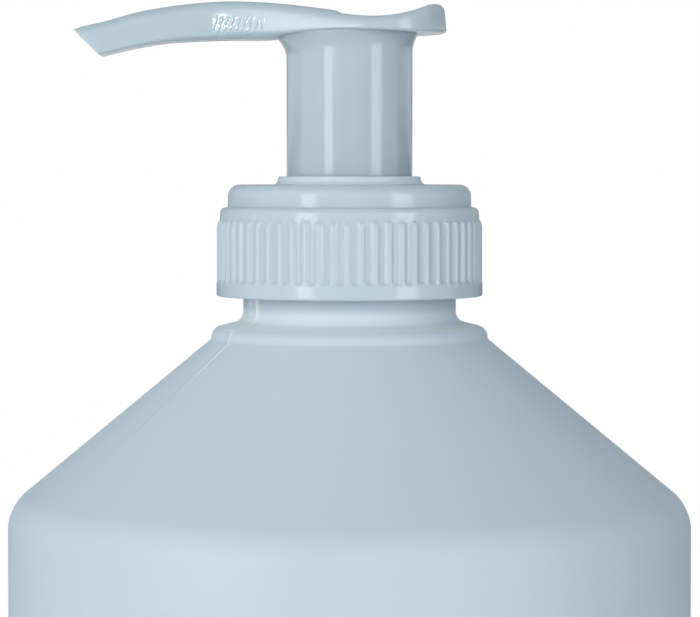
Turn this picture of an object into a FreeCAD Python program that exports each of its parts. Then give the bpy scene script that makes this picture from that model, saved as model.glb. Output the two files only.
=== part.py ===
"""Pump oil bottle: a one-litre blow-moulded bottle closed by a screw-on lotion pump.

Millimetres. The bottle stands on the XY plane with its axis on +Z, and the nozzle points along -X.
"""
import FreeCAD, Part
import math
import os
import re
import Sketcher

# Driving sizes: millimetres, degrees and counts
SIZES = {
    # bottle
    "bottle_height": 226.0,
    "bottle_diameter": 84.0,
    "bottle_wall": 1.1,
    "heel_radius": 6.0,
    "base_ring_inner": 62.0,
    "base_pushup": 3.5,
    "shoulder_angle": 39.0,
    "shoulder_radius": 5.2,
    "bead_diameter": 34.2,
    "bead_side": 1.2,
    "bead_slope": 1.15,
    "bead_round": 0.8,
    "neck_height": 12.1,
    "neck_diameter": 26.4,
    "neck_bore": 22.0,
    # screw thread between neck and closure
    "thread_pitch": 4.2,
    "thread_depth": 0.8,
    "thread_width": 2.2,
    "thread_crest": 1.2,
    "neck_thread_turns": 1.0,
    "neck_thread_drop": 6.2,
    "closure_thread_turns": 1.25,
    "closure_thread_width": 1.6,
    "closure_thread_crest": 0.9,
    "thread_gap": 0.25,
    # closure
    "closure_diameter": 33.0,
    "closure_height": 13.8,
    "closure_disc": 1.5,
    "band_height": 1.5,
    "grip_height": 9.2,
    "step_height": 10.9,
    "step_diameter": 32.1,
    "shell_diameter": 30.15,
    "shell_wall": 1.0,
    "shell_round": 1.0,
    "rib_count": 60,
    "rib_width": 1.15,
    "rib_rise": 0.42,
    # seal stack on the rim
    "gasket_thickness": 1.2,
    "flange_thickness": 2.0,
    "flange_diameter": 24.8,
    "turning_gap": 0.08,
    # clearances
    "running_gap": 0.05,
    "assembly_gap": 0.1,
    # chaplet
    "chaplet_diameter": 18.2,
    "chaplet_flange": 0.92,
    "chaplet_tube_wall": 0.65,
    "chaplet_web": 1.2,
    "guide_wall": 1.45,
    # actuator
    "stroke": 14.0,
    "sleeve_diameter": 15.6,
    "sleeve_wall": 1.2,
    "sleeve_rise": 17.96,
    "sleeve_guide": 2.0,
    "socket_wall": 1.2,
    "socket_depth": 9.5,
    "head_top_wall": 2.2,
    "nozzle_reach": 34.1,
    "nozzle_tip_cut": 3.2,
    "nozzle_tip_rise": 0.38,
    "nozzle_tip_drop": 3.0,
    "nozzle_crest_radius": 60.0,
    "nozzle_belly_radius": 50.0,
    "nozzle_belly_reach": 17.0,
    "nozzle_width": 7.0,
    "nozzle_neck_reach": 16.0,
    "nozzle_bore": 2.6,
    "nozzle_bore_arc": 62.0,
    "head_lobe_diameter": 18.2,
    "head_lobe_shift": 3.0,
    "head_taper": 17.0,
    "saddle_radius": 19.0,
    "saddle_start": 4.0,
    "saddle_start_rise": 2.75,
    "saddle_end": 9.6,
    "tail_rise": 3.0,
    # stem, piston and plug
    "stem_diameter": 7.0,
    "stem_bore": 4.0,
    "collar_diameter": 9.6,
    "collar_thickness": 1.2,
    "slot_height": 1.1,
    "slot_width": 2.4,
    "piston_height": 6.5,
    "piston_hub_wall": 0.9,
    "piston_lip": 0.8,
    "piston_web": 1.6,
    "piston_slip": 1.2,
    "plug_diameter": 11.2,
    "plug_thickness": 1.5,
    "plug_spigot": 6.0,
    "plug_blade": 1.8,
    "plug_pin": 3.0,
    # spring
    "spring_length": 24.0,
    "spring_wire": 0.9,
    "spring_diameter": 9.5,
    "spring_turns": 8,
    "spring_end_pitch": 1.4,
    # housing, inlet valve and dip tube
    "cylinder_bore": 13.6,
    "cylinder_wall": 1.1,
    "cup_wall": 1.25,
    "ball_diameter": 5.5,
    "ball_lift": 2.0,
    "ball_side_gap": 0.55,
    "ball_lip": 0.8,
    "inlet_bore": 3.2,
    "socket_length": 8.0,
    "tube_diameter": 5.2,
    "tube_wall": 0.7,
    "tube_floor_gap": 3.0,
}

# Places that follow from the sizes
PLACES = {
    # bottle
    "bottle_radius": "bottle_diameter / 2",
    "inner_radius": "bottle_radius - bottle_wall",
    "neck_radius": "neck_diameter / 2",
    "bore_radius": "neck_bore / 2",
    "bead_radius": "bead_diameter / 2",
    "base_ring": "base_ring_inner / 2",
    "rim": "bottle_height",
    "neck_foot": "rim - neck_height",
    "bead_top": "neck_foot - bead_slope",
    "bead_base": "bead_top - bead_side",
    "shoulder_corner": "bead_base - (bottle_radius - bead_radius) * tan(shoulder_angle)",
    "wall_drop": "bottle_wall / cos(shoulder_angle)",
    "inner_corner": "shoulder_corner + bottle_wall * tan(shoulder_angle) - wall_drop",
    "inner_foot": "bead_base + (bead_radius - bore_radius) * tan(shoulder_angle) - wall_drop",
    "thread_radius": "neck_radius + thread_depth",
    "thread_start": "rim - neck_thread_drop",
    # seal stack and closure
    "gasket_top": "rim + gasket_thickness",
    "flange_radius": "flange_diameter / 2",
    "flange_top": "gasket_top + flange_thickness",
    "ceiling": "flange_top + turning_gap",
    "closure_top": "ceiling + closure_disc",
    "closure_base": "closure_top - closure_height",
    "skirt_radius": "thread_radius + thread_gap",
    "ridge_radius": "neck_radius + thread_gap",
    "ridge_start": "thread_start - thread_gap - (thread_width + closure_thread_crest) / 2",
    "band_radius": "closure_diameter / 2",
    "step_radius": "step_diameter / 2",
    "shell_radius": "shell_diameter / 2",
    "band_top": "closure_base + band_height",
    "step_top": "closure_base + step_height",
    "shell_hollow": "shell_radius - shell_wall",
    "hollow_foot": "step_top - shell_wall",
    # chaplet
    "stem_radius": "stem_diameter / 2",
    "guide_radius": "stem_radius + running_gap",
    "guide_outer": "guide_radius + guide_wall",
    "sleeve_radius": "sleeve_diameter / 2",
    "well_radius": "sleeve_radius + assembly_gap",
    "chaplet_tube": "well_radius + chaplet_tube_wall",
    "chaplet_radius": "chaplet_diameter / 2",
    "disc_hole": "chaplet_tube + assembly_gap",
    "chaplet_seat": "closure_top + turning_gap",
    "chaplet_top": "chaplet_seat + chaplet_flange",
    "sleeve_end": "chaplet_top - sleeve_guide",
    "well_floor": "sleeve_end - stroke - 0.5",
    "chaplet_base": "well_floor - chaplet_web",
    # actuator
    "head_rim": "chaplet_top + sleeve_rise",
    "sleeve_inner": "sleeve_radius - sleeve_wall",
    "sleeve_ceiling": "head_rim - head_top_wall",
    "socket_outer": "guide_radius + socket_wall",
    "socket_end": "sleeve_ceiling - socket_depth",
    "stem_top": "sleeve_ceiling - 0.5",
    "guide_top": "socket_end - stroke - 1",
    "lobe_radius": "head_lobe_diameter / 2",
    "tail_reach": "head_lobe_shift + lobe_radius",
    "nozzle_half": "nozzle_width / 2",
    "channel_crest": "head_rim + 1.2",
    "channel_reach": "nozzle_reach * 0.44",
    # plunger
    "collar_top": "chaplet_base - running_gap",
    "collar_base": "collar_top - collar_thickness",
    "collar_radius": "collar_diameter / 2",
    "piston_top": "collar_base - piston_slip - assembly_gap",
    "piston_base": "piston_top - piston_height",
    "piston_middle": "piston_base + piston_height / 2",
    "plug_top": "piston_base - 0.02",
    "plug_base": "plug_top - plug_thickness",
    "plug_radius": "plug_diameter / 2",
    "stem_bore_radius": "stem_bore / 2",
    "spigot_radius": "stem_bore_radius - 0.03",
    "spigot_top": "plug_top + plug_spigot",
    "pin_radius": "(spring_diameter - spring_wire) / 2 - 0.4",
    "cylinder_radius": "cylinder_bore / 2",
    "piston_radius": "cylinder_radius - running_gap",
    "piston_hub": "guide_radius + piston_hub_wall",
    # housing
    "spring_seat": "plug_base - spring_length",
    "cup_radius": "chaplet_tube + running_gap",
    "cup_outer": "cup_radius + cup_wall",
    "cup_floor": "chaplet_base - assembly_gap",
    "cylinder_outer": "cylinder_radius + cylinder_wall",
    "ball_radius": "ball_diameter / 2",
    "chamber_radius": "ball_radius + ball_side_gap",
    "chamber_outer": "chamber_radius + cylinder_wall",
    "lip_radius": "ball_radius * 0.9",
    "inlet_radius": "inlet_bore / 2",
    "lip_base": "spring_seat - ball_lip",
    "ball_centre": "lip_base - 0.05 - ball_lift - ball_radius * sqrt(0.19)",
    "seat_apex": "ball_centre - (ball_radius + 0.02) * sqrt(2)",
    "tube_radius": "tube_diameter / 2",
    "tube_socket": "tube_radius + running_gap",
    "tube_socket_outer": "tube_socket + cylinder_wall",
    "tube_top": "seat_apex + inlet_radius - 1",
    "socket_base": "tube_top - socket_length",
    "tube_end": "base_pushup + bottle_wall + tube_floor_gap",
}

doc = FreeCAD.newDocument("pump_oil_bottle")


def spell(expression, own=()):
    """The expression with each name led by its sheet, apart from names of the sheet's own cells."""
    def owner(match):
        word = match.group()
        if word in SIZES:
            return "sizes." + word
        if word in PLACES and word not in own:
            return "places." + word
        return word
    return re.sub(r"[a-z_]+", owner, expression)


def fill_sheet(name, cells):
    """A spreadsheet with a named cell for each entry."""
    sheet = doc.addObject("Spreadsheet::Sheet", name)
    for row, (alias, content) in enumerate(cells.items(), start=1):
        sheet.set(f"A{row}", alias)
        sheet.set(f"B{row}", str(content))
        sheet.setAlias(f"B{row}", alias)
    doc.recompute()
    return sheet


sizes = fill_sheet("sizes", SIZES)
places = fill_sheet("places", {alias: "=" + spell(formula, PLACES) for alias, formula in PLACES.items()})


def value(expression):
    """The number that an expression over the two sheets comes to."""
    result = sizes.evalExpression(spell(expression))
    return float(getattr(result, "Value", result))


def new_body(label):
    """An empty body that becomes one physical piece."""
    body = doc.addObject("PartDesign::Body", label)
    body.Label = label
    return body


def origin_item(body, role):
    return next(item for item in body.Origin.OriginFeatures if item.Role == role)


def edge_between(start, end, bend):
    """A straight edge, or an arc that bulges to the right of the way it runs if bend is positive."""
    first = FreeCAD.Vector(start[0], start[1], 0)
    last = FreeCAD.Vector(end[0], end[1], 0)
    if bend is None:
        return Part.LineSegment(first, last)
    chord = last - first
    across = FreeCAD.Vector(chord.y, -chord.x, 0).normalize()
    sagitta = abs(bend) - math.sqrt(bend * bend - chord.Length ** 2 / 4)
    return Part.Arc(first, (first + last) * 0.5 + across * math.copysign(sagitta, bend), last)


def end_positions(sketch, edge, start):
    """Position numbers of an edge's start and end, because an arc may be stored the other way round."""
    gap = sketch.getPoint(edge, 1) - FreeCAD.Vector(start[0], start[1], 0)
    return (1, 2) if gap.Length < 1e-6 else (2, 1)


def fix_corner(sketch, edge, position, corner):
    """Tie a corner of the outline to its two expressions."""
    for kind, axis, expression in (("DistanceX", -2, corner[0]), ("DistanceY", -1, corner[1])):
        if expression == "0":
            sketch.addConstraint(Sketcher.Constraint("PointOnObject", edge, position, axis))
            continue
        limit = Sketcher.Constraint(kind, -1, 1, edge, position, value(expression))
        index = sketch.addConstraint(limit)
        sketch.setExpression(f"Constraints[{index}]", spell(expression))


def add_loop(sketch, corners):
    """A closed loop of corners (across, up) or (across, up, radius of the arc to the next corner)."""
    count = len(corners)
    spots = [(value(corner[0]), value(corner[1])) for corner in corners]
    bends = [value(corner[2]) if len(corner) > 2 else None for corner in corners]
    edges = []
    for index in range(count):
        edges.append(sketch.addGeometry(edge_between(spots[index], spots[(index + 1) % count], bends[index])))
    ends = [end_positions(sketch, edge, spot) for edge, spot in zip(edges, spots)]
    for index in range(count):
        after = (index + 1) % count
        meet = Sketcher.Constraint("Coincident", edges[index], ends[index][1], edges[after], ends[after][0])
        sketch.addConstraint(meet)
    for edge, end, corner, bend in zip(edges, ends, corners, bends):
        fix_corner(sketch, edge, end[0], corner)
        if bend is not None:
            radius = sketch.addConstraint(Sketcher.Constraint("Radius", edge, abs(bend)))
            sketch.setExpression(f"Constraints[{radius}]", spell(f"abs({corner[2]})"))


def outline(body, name, *loops, role="XZ_Plane", lift=None):
    """A sketch of closed loops on one of the body's own planes."""
    sketch = body.newObject("Sketcher::SketchObject", name)
    sketch.AttachmentSupport = [(origin_item(body, role), "")]
    sketch.MapMode = "FlatFace"
    if lift:
        sketch.setExpression("AttachmentOffset.Base.z", spell(lift))
    for corners in loops:
        add_loop(sketch, corners)
    return sketch


def turn(body, name, corners, cut=False):
    """The outline turned about the bottle's axis, to add or to cut away."""
    sketch = outline(body, name + "_outline", corners)
    feature = body.newObject("PartDesign::Groove" if cut else "PartDesign::Revolution", name)
    feature.Profile = sketch
    feature.ReferenceAxis = (sketch, ["V_Axis"])
    feature.Angle = 360
    doc.recompute()
    return feature


def cut_through(body, name, *loops, role="XZ_Plane"):
    """Material inside the loops removed all the way through, on both sides of the plane."""
    sketch = outline(body, name + "_outline", *loops, role=role)
    feature = body.newObject("PartDesign::Pocket", name)
    feature.Profile = sketch
    feature.Type = "ThroughAll"
    feature.Midplane = True
    doc.recompute()
    return feature


def ridge(body, name, corners, turns):
    """A thread ridge of the given section, wound upward about the axis."""
    sketch = outline(body, name + "_section", corners)
    feature = body.newObject("PartDesign::AdditiveHelix", name)
    feature.Profile = sketch
    feature.ReferenceAxis = (sketch, ["V_Axis"])
    feature.Mode = "pitch-turns-angle"
    feature.setExpression("Pitch", spell("thread_pitch"))
    feature.setExpression("Turns", spell(turns))
    doc.recompute()
    return feature


def round_edges(body, name, edges, radius):
    """Edges of the body's newest shape rounded with one radius."""
    base = body.Tip
    feature = body.newObject("PartDesign::Fillet", name)
    feature.Base = (base, edges)
    feature.setExpression("Radius", spell(radius))
    doc.recompute()
    return feature


def round_rings(body, name, radius, *rings):
    """Circular edges, each given by its radius and height, rounded with one radius."""
    wanted = [(value(across), value(up)) for across, up in rings]
    edges = []
    for index, edge in enumerate(body.Tip.Shape.Edges, start=1):
        if not isinstance(edge.Curve, Part.Circle):
            continue
        spot = (edge.Curve.Radius, edge.Curve.Center.z)
        if any(math.dist(spot, ring) < 1e-4 for ring in wanted):
            edges.append(f"Edge{index}")
    return round_edges(body, name, edges, radius)


# Bottle: turned outside, hollow inside, thread on the neck, rounded corners
bottle = new_body("bottle")
turn(bottle, "bottle_outside", [
    ("0", "base_pushup"), ("base_ring", "0"), ("bottle_radius", "0"),
    ("bottle_radius", "shoulder_corner"), ("bead_radius", "bead_base"), ("bead_radius", "bead_top"),
    ("neck_radius", "neck_foot"), ("neck_radius", "rim"), ("0", "rim")])
turn(bottle, "bottle_inside", [
    ("0", "base_pushup + bottle_wall"), ("base_ring", "bottle_wall"), ("inner_radius", "bottle_wall"),
    ("inner_radius", "inner_corner"), ("bore_radius", "inner_foot"), ("bore_radius", "rim + 1"),
    ("0", "rim + 1")], cut=True)
round_rings(bottle, "bottle_heel", "heel_radius", ("bottle_radius", "0"))
round_rings(bottle, "bottle_inner_heel", "heel_radius - bottle_wall", ("inner_radius", "bottle_wall"))
round_rings(bottle, "bottle_shoulder", "shoulder_radius", ("bottle_radius", "shoulder_corner"))
round_rings(bottle, "bottle_inner_shoulder", "shoulder_radius - bottle_wall",
            ("inner_radius", "inner_corner"))
round_rings(bottle, "bottle_bead", "bead_round", ("bead_radius", "bead_top"), ("neck_radius", "neck_foot"))
ridge(bottle, "neck_thread", [
    ("neck_radius - 0.3", "thread_start - thread_width / 2"),
    ("thread_radius", "thread_start - thread_crest / 2"),
    ("thread_radius", "thread_start + thread_crest / 2"),
    ("neck_radius - 0.3", "thread_start + thread_width / 2")], "neck_thread_turns")

# Closure: stepped cap with a hole for the chaplet, a ring of grip ribs and a thread ridge inside
closure = new_body("closure")
turn(closure, "closure_shell", [
    ("skirt_radius", "closure_base"), ("band_radius", "closure_base"), ("band_radius", "band_top"),
    ("step_radius", "band_top"), ("step_radius", "step_top"), ("shell_radius", "step_top"),
    ("shell_radius", "closure_top"), ("disc_hole", "closure_top"), ("disc_hole", "ceiling"),
    ("shell_hollow", "ceiling"), ("shell_hollow", "hollow_foot"), ("skirt_radius", "hollow_foot")])
round_rings(closure, "closure_top_round", "shell_round", ("shell_radius", "closure_top"))
round_rings(closure, "closure_step_round", "0.3", ("step_radius", "step_top"))
round_rings(closure, "closure_band_round", "0.3", ("band_radius", "closure_base"))
rib_section = outline(closure, "rib_section", [
    ("step_radius - 0.3", "-rib_width / 2"),
    ("step_radius - 0.04", "-rib_width / 2", "rib_rise / 2 + rib_width ^ 2 / (8 * rib_rise)"),
    ("step_radius - 0.04", "rib_width / 2"),
    ("step_radius - 0.3", "rib_width / 2")], role="XY_Plane", lift="band_top - 0.2")
rib = closure.newObject("PartDesign::Pad", "rib")
rib.Profile = rib_section
rib.setExpression("Length", spell("grip_height - band_height + 0.2"))
doc.recompute()
ribs = closure.newObject("PartDesign::PolarPattern", "ribs")
ribs.Originals = [rib]
ribs.Axis = (origin_item(closure, "Z_Axis"), [""])
ribs.Angle = 360
ribs.setExpression("Occurrences", spell("rib_count"))
closure.Tip = ribs
doc.recompute()
ridge(closure, "closure_thread", [
    ("ridge_radius", "ridge_start - closure_thread_crest / 2"),
    ("skirt_radius + 0.3", "ridge_start - closure_thread_width / 2"),
    ("skirt_radius + 0.3", "ridge_start + closure_thread_width / 2"),
    ("ridge_radius", "ridge_start + closure_thread_crest / 2")], "closure_thread_turns")

# Gasket: flat ring between the rim and the housing flange
gasket = new_body("gasket")
turn(gasket, "gasket_ring", [
    ("cup_outer + assembly_gap", "rim"), ("flange_radius", "rim"),
    ("flange_radius", "gasket_top"), ("cup_outer + assembly_gap", "gasket_top")])

# Chaplet: flange on the closure, well for the sleeve and a guide for the stem
chaplet = new_body("chaplet")
turn(chaplet, "chaplet_ring", [
    ("well_radius", "chaplet_top"), ("well_radius", "well_floor"), ("guide_outer", "well_floor"),
    ("guide_outer", "guide_top"), ("guide_radius", "guide_top"), ("guide_radius", "chaplet_base"),
    ("chaplet_tube", "chaplet_base"), ("chaplet_tube", "chaplet_seat"),
    ("chaplet_radius", "chaplet_seat"), ("chaplet_radius", "chaplet_top")])
round_rings(chaplet, "chaplet_round", "0.3", ("chaplet_radius", "chaplet_top"))

# Housing: cup in the neck, pump cylinder, ball chamber and tube socket
housing = new_body("housing")
turn(housing, "housing_wall", [
    ("cup_radius", "flange_top"), ("cup_radius", "cup_floor"), ("cylinder_radius", "cup_floor"),
    ("cylinder_radius", "spring_seat"), ("lip_radius", "spring_seat"), ("lip_radius", "lip_base"),
    ("chamber_radius", "lip_base"), ("chamber_radius", "seat_apex + chamber_radius"),
    ("inlet_radius", "seat_apex + inlet_radius"), ("inlet_radius", "tube_top"),
    ("tube_socket", "tube_top"), ("tube_socket", "socket_base"),
    ("tube_socket_outer", "socket_base"), ("tube_socket_outer", "tube_top"),
    ("chamber_outer", "seat_apex + inlet_radius"), ("chamber_outer", "lip_base - 1"),
    ("cylinder_outer", "spring_seat - 1.2"), ("cylinder_outer", "cup_floor - 1.5"),
    ("cup_outer", "cup_floor - 0.2"), ("cup_outer", "gasket_top"),
    ("flange_radius", "gasket_top"), ("flange_radius", "flange_top")])

# Dip tube: plain tube with a slanted lower end
dip_tube = new_body("dip_tube")
turn(dip_tube, "tube_wall_ring", [
    ("tube_radius - tube_wall", "tube_end"), ("tube_radius", "tube_end"),
    ("tube_radius", "tube_top"), ("tube_radius - tube_wall", "tube_top")])
cut_through(dip_tube, "tube_slant", [
    ("-tube_radius - 1", "tube_end - 1"), ("tube_radius + 1", "tube_end - 1"),
    ("tube_radius + 1", "tube_end + tube_diameter + 1")])

# Inlet ball: rests in the cone under the pump cylinder
inlet_ball = doc.addObject("Part::Sphere", "inlet_ball")
inlet_ball.setExpression("Radius", spell("ball_radius"))
inlet_ball.setExpression("Placement.Base.z", spell("ball_centre"))

# Stem: hollow rod with a stop collar and two slots that the piston covers
stem = new_body("stem")
turn(stem, "stem_rod", [
    ("stem_bore_radius", "plug_top"), ("stem_radius", "plug_top"), ("stem_radius", "collar_base"),
    ("collar_radius", "collar_base"), ("collar_radius", "collar_top"), ("stem_radius", "collar_top"),
    ("stem_radius", "stem_top"), ("stem_bore_radius", "stem_top")])
cut_through(stem, "stem_slots", [
    ("-slot_width / 2", "plug_top - 1"), ("slot_width / 2", "plug_top - 1"),
    ("slot_width / 2", "plug_top + slot_height"), ("-slot_width / 2", "plug_top + slot_height")])

# Piston: hub on the stem, web, and an outer wall with a sealing lip at each end
piston = new_body("piston")
turn(piston, "piston_wall", [
    ("guide_radius", "piston_base"), ("piston_hub", "piston_base"),
    ("piston_hub", "piston_middle - piston_web / 2"),
    ("piston_radius - piston_lip", "piston_middle - piston_web / 2"),
    ("piston_radius - piston_lip / 2", "piston_base + 0.7"), ("piston_radius", "piston_base + 0.7"),
    ("piston_radius", "piston_base + 1.4"), ("piston_radius - 0.25", "piston_base + 2"),
    ("piston_radius - 0.25", "piston_top - 2"), ("piston_radius", "piston_top - 1.4"),
    ("piston_radius", "piston_top - 0.7"), ("piston_radius - piston_lip / 2", "piston_top - 0.7"),
    ("piston_radius - piston_lip", "piston_middle + piston_web / 2"),
    ("piston_hub", "piston_middle + piston_web / 2"), ("piston_hub", "piston_top"),
    ("guide_radius", "piston_top")])

# Stem plug: seat under the piston, flat blade in the stem's bore and a pin inside the spring
stem_plug = new_body("stem_plug")
turn(stem_plug, "plug_disc", [
    ("0", "plug_base - plug_pin"), ("pin_radius", "plug_base - plug_pin"), ("pin_radius", "plug_base"),
    ("plug_radius", "plug_base"), ("plug_radius", "plug_top"), ("spigot_radius", "plug_top"),
    ("spigot_radius", "spigot_top"), ("0", "spigot_top")])
plug_flats = [[("-stem_radius", f"{side} * plug_blade / 2"), ("stem_radius", f"{side} * plug_blade / 2"),
               ("stem_radius", f"{side} * stem_radius"), ("-stem_radius", f"{side} * stem_radius")]
              for side in (1, -1)]
flats = stem_plug.newObject("PartDesign::Pocket", "plug_blade_flats")
flats.Profile = outline(stem_plug, "plug_flats_outline", *plug_flats, role="XY_Plane", lift="plug_top")
flats.Reversed = True
flats.setExpression("Length", spell("plug_spigot + 1"))
stem_plug.Tip = flats
doc.recompute()

# Actuator: side profile padded, trimmed to its plan, then sleeve, socket and nozzle channel
actuator = new_body("actuator")
side_profile = outline(actuator, "head_side", [
    ("-nozzle_reach", "head_rim + nozzle_tip_rise", "-nozzle_crest_radius"),
    ("-saddle_start", "head_rim + saddle_start_rise", "saddle_radius"),
    ("saddle_end", "head_rim + tail_rise", "-2.4"),
    ("tail_reach + 1", "head_rim + tail_rise - 1"),
    ("tail_reach + 1", "head_rim"),
    ("-nozzle_belly_reach", "head_rim - 1", "nozzle_belly_radius"),
    ("nozzle_tip_cut - nozzle_reach", "head_rim - nozzle_tip_drop")])
head = actuator.newObject("PartDesign::Pad", "head")
head.Profile = side_profile
head.Midplane = True
head.setExpression("Length", spell("head_lobe_diameter + 2"))
doc.recompute()


def plan_side(side):
    """Corners of the head's plan on one side, from the lobe to the nozzle tip."""
    return [
        ("head_lobe_shift", f"{side} * lobe_radius", "lobe_radius"),
        ("head_lobe_shift - lobe_radius * sin(head_taper)", f"{side} * lobe_radius * cos(head_taper)"),
        ("3.5 - nozzle_neck_reach", f"{side} * (nozzle_half + 1.27)", "-25"),
        ("-3.5 - nozzle_neck_reach", f"{side} * (nozzle_half + 0.15)"),
        ("-1 - nozzle_reach", f"{side} * nozzle_half")]


def reversed_loop(corners):
    """The same corners run backward, with each arc's radius kept on its own edge."""
    spots = [corner[:2] for corner in reversed(corners)]
    bends = [corner[2:] for corner in reversed(corners)]
    return [spot + bend for spot, bend in zip(spots, bends[1:] + [()])]


plan = [("tail_reach", "0", "lobe_radius")] + plan_side(1)
back = reversed_loop(plan_side(-1))
plan = plan + back[:-1] + [back[-1][:2] + ("lobe_radius",)]
frame = [
    ("-nozzle_reach - 5", "-lobe_radius - 5"), ("tail_reach + 5", "-lobe_radius - 5"),
    ("tail_reach + 5", "lobe_radius + 5"), ("-nozzle_reach - 5", "lobe_radius + 5")]
cut_through(actuator, "head_plan", frame, plan, role="XY_Plane")

turn(actuator, "sleeve", [
    ("0", "sleeve_end"), ("sleeve_radius", "sleeve_end"), ("sleeve_radius", "head_rim + 0.3"),
    ("0", "head_rim + 0.3")])
turn(actuator, "sleeve_hollow", [
    ("0", "sleeve_end - 1"), ("sleeve_inner", "sleeve_end - 1"), ("sleeve_inner", "sleeve_ceiling"),
    ("socket_outer", "sleeve_ceiling"), ("socket_outer", "socket_end"), ("guide_radius", "socket_end"),
    ("guide_radius", "stem_top + 0.1"), ("stem_bore_radius", "stem_top + 0.1"),
    ("stem_bore_radius", "channel_crest - 1.8"), ("0", "channel_crest - 1.8")], cut=True)

# Nozzle channel: a round bore that follows the arch of the nozzle from the stem to the tip
channel_section = actuator.newObject("Sketcher::SketchObject", "channel_section")
channel_section.AttachmentSupport = [(origin_item(actuator, "YZ_Plane"), "")]
channel_section.MapMode = "FlatFace"
channel_section.setExpression("AttachmentOffset.Base.z", spell("-channel_reach"))
crest = FreeCAD.Vector(0, value("channel_crest"), 0)
pivot = value("channel_crest - nozzle_bore_arc")
bore_outline = Part.Circle(crest, FreeCAD.Vector(0, 0, 1), value("nozzle_bore") / 2)
bore_circle = channel_section.addGeometry(bore_outline)
pivot_start = FreeCAD.Vector(0, pivot, 0)
pivot_end = FreeCAD.Vector(value("nozzle_bore"), pivot, 0)
pivot_line = channel_section.addGeometry(Part.LineSegment(pivot_start, pivot_end), True)
channel_section.addConstraint(Sketcher.Constraint("PointOnObject", bore_circle, 3, -2))
channel_section.addConstraint(Sketcher.Constraint("PointOnObject", pivot_line, 1, -2))
channel_section.addConstraint(Sketcher.Constraint("Horizontal", pivot_line))


def bind(constraint, expression):
    index = channel_section.addConstraint(constraint)
    channel_section.setExpression(f"Constraints[{index}]", spell(expression))


bind(Sketcher.Constraint("DistanceX", pivot_line, 1, pivot_line, 2, value("nozzle_bore")), "nozzle_bore")
bind(Sketcher.Constraint("DistanceY", -1, 1, bore_circle, 3, value("channel_crest")), "channel_crest")
bind(Sketcher.Constraint("DistanceY", -1, 1, pivot_line, 1, pivot), "channel_crest - nozzle_bore_arc")
bind(Sketcher.Constraint("Radius", bore_circle, value("nozzle_bore / 2")), "nozzle_bore / 2")
channel = actuator.newObject("PartDesign::Groove", "nozzle_channel")
channel.Profile = channel_section
channel.ReferenceAxis = (channel_section, ["Axis0"])
channel.Type = "TwoAngles"
channel.setExpression("Angle", spell("asin((nozzle_reach - channel_reach + 3) / nozzle_bore_arc)"))
channel.setExpression("Angle2", spell("asin(channel_reach / nozzle_bore_arc)"))
doc.recompute()

# Return spring: one wire on short arcs, with closer turns at both ends
spring_mean = value("spring_diameter") / 2
spring_wire = value("spring_wire")
spring_turns = int(value("spring_turns"))
end_pitch = value("spring_end_pitch")
spring_foot = value("spring_seat") + spring_wire / 2
middle_pitch = (value("spring_length") - spring_wire - 2 * end_pitch) / (spring_turns - 2)


def spring_spot(turns):
    """Centre of the wire after so many turns."""
    start, inner = min(turns, 1), min(max(turns - 1, 0), spring_turns - 2)
    rise = (start + max(turns - spring_turns + 1, 0)) * end_pitch + inner * middle_pitch
    angle = 2 * math.pi * turns
    return FreeCAD.Vector(spring_mean * math.cos(angle), spring_mean * math.sin(angle), spring_foot + rise)


def spring_heading(turns):
    """Direction of the wire, level with the pitch of the turns on both sides."""
    step = 1e-4
    low, high = max(turns - step, 0), min(turns + step, spring_turns)
    return (spring_spot(high) - spring_spot(low)).normalize()


def arc_from(start, heading, end):
    """The arc that leaves start along heading and reaches end."""
    chord = end - start
    along = FreeCAD.Vector(chord).normalize()
    across = heading - along * heading.dot(along)
    bend = math.atan2(across.Length, heading.dot(along)) / 2
    peak = FreeCAD.Vector(across).normalize() * (chord.Length / 2 * math.tan(bend))
    return Part.Arc(start, (start + end) * 0.5 + peak, end).toShape()


def biarc(start, heading, end, last):
    """Two arcs that leave start along heading and reach end along last."""
    span, both = end - start, heading + last
    square = both.dot(both) - 4
    half = span.dot(both)
    reach = (half - math.sqrt(half * half - square * span.dot(span))) / square
    middle = (start + heading * reach + end - last * reach) * 0.5
    turn_heading = (end - last * reach - start - heading * reach).normalize()
    return [arc_from(start, heading, middle), arc_from(middle, turn_heading, end)]


spring_edges = []
for quarter in range(4 * spring_turns):
    first, second = quarter / 4, (quarter + 1) / 4
    start, start_heading = spring_spot(first), spring_heading(first)
    end, end_heading = spring_spot(second), spring_heading(second)
    spring_edges += biarc(start, start_heading, end, end_heading)
spring_path = Part.Wire(spring_edges)
section = Part.Wire(Part.Circle(spring_spot(0), spring_heading(0), spring_wire / 2).toShape())
return_spring = doc.addObject("Part::Feature", "return_spring")
return_spring.Shape = spring_path.makePipeShell([section], True, False)

doc.recompute()
pieces = [bottle, closure, gasket, chaplet, housing, dip_tube, inlet_ball, return_spring,
          stem, piston, stem_plug, actuator]
for item in doc.Objects:
    if "Invalid" in item.State or "Error" in item.State:
        raise RuntimeError(f"{item.Label} did not build: {item.State}")
os.makedirs("parts", exist_ok=True)
for piece in pieces:
    if piece.Shape.isNull() or not piece.Shape.isValid() or len(piece.Shape.Solids) != 1:
        raise RuntimeError(f"{piece.Label} is not one valid solid")
    piece.Shape.exportStep(f"parts/{piece.Label}.step")
    box = piece.Shape.BoundBox
    print(f"{piece.Label}: {piece.Shape.Volume:.0f} mm3, z {box.ZMin:.2f} to {box.ZMax:.2f}")
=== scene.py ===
# %% [markdown]
# # A pump oil bottle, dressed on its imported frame
# The part is a cool white litre bottle with a screw-on lotion pump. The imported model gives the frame: every piece
# below is made in metres, at the place where the construction says it is, so nothing has to be fitted by eye.
# Each piece that shows is modelled again here with rounder edges and finer detail than the solids have. The
# pump's inner pieces keep their solids and get a finish.

# %% Load the frame and keep its box
import math

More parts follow.
